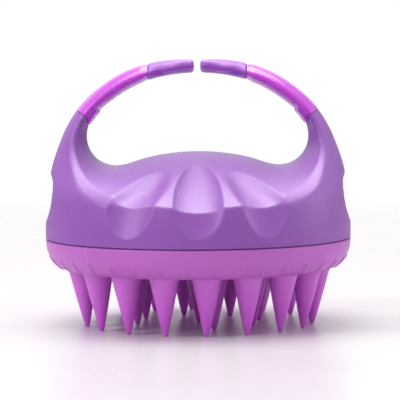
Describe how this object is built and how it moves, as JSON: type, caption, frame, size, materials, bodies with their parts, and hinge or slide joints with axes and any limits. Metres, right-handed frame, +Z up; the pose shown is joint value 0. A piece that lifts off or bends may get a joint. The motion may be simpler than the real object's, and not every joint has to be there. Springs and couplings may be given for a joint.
{
  "type": "curry comb",
  "caption": "Palm-held soft curry comb: domed handle with finger hollows, a split flexible finger ring and a soft round pad of long massaging cones.",
  "frame": {"origin": "on the resting surface, under the centre of the round body", "axes": "+X along the finger ring, -Y the front, +Z up through the handle"},
  "size_m": [0.09, 0.09, 0.0779],
  "materials": {
    "handle_plastic": "fine etched purple",
    "tip_plastic": "satin purple",
    "sleeve_rubber": "glossy magenta purple",
    "core_plastic": "natural translucent white",
    "peg_plastic": "plain purple",
    "plate_plastic": "plain purple",
    "screw_steel": "stainless",
    "seal_rubber": "black",
    "pad_rubber": "satin pink violet",
    "cone_rubber": "satin pink violet"
  },
  "bodies": {
    "handle": {"handle_shell": "handle_plastic", "base_plate": "plate_plastic", "plate_screws": "screw_steel", "seal_ring": "seal_rubber", "brush_pad": "pad_rubber", "outer_cones": "cone_rubber", "middle_cones": "cone_rubber", "centre_cone": "cone_rubber", "left_arm_sleeve": "sleeve_rubber", "left_arm_core": "core_plastic", "left_arm_root_peg": "peg_plastic", "right_arm_sleeve": "sleeve_rubber", "right_arm_core": "core_plastic", "right_arm_root_peg": "peg_plastic"},
    "left_arm": {"left_arm_tip": "tip_plastic", "left_arm_tip_peg": "peg_plastic"},
    "right_arm": {"right_arm_tip": "tip_plastic", "right_arm_tip_peg": "peg_plastic"}
  },
  "joints": [
    {"name": "left_arm_flex", "type": "hinge", "parent": "handle", "child": "left_arm", "pos_m": [-0.0262, 0, 0.0687], "axis": [0, -1, 0], "range_deg": [-5, 20], "stiffness_Nm_per_rad": 0.15, "deforming": ["left_arm_sleeve", "left_arm_core"]},
    {"name": "right_arm_flex", "type": "hinge", "parent": "handle", "child": "right_arm", "pos_m": [0.0262, 0, 0.0687], "axis": [0, 1, 0], "range_deg": [-5, 20], "stiffness_Nm_per_rad": 0.15, "deforming": ["right_arm_sleeve", "right_arm_core"]}
  ]
}
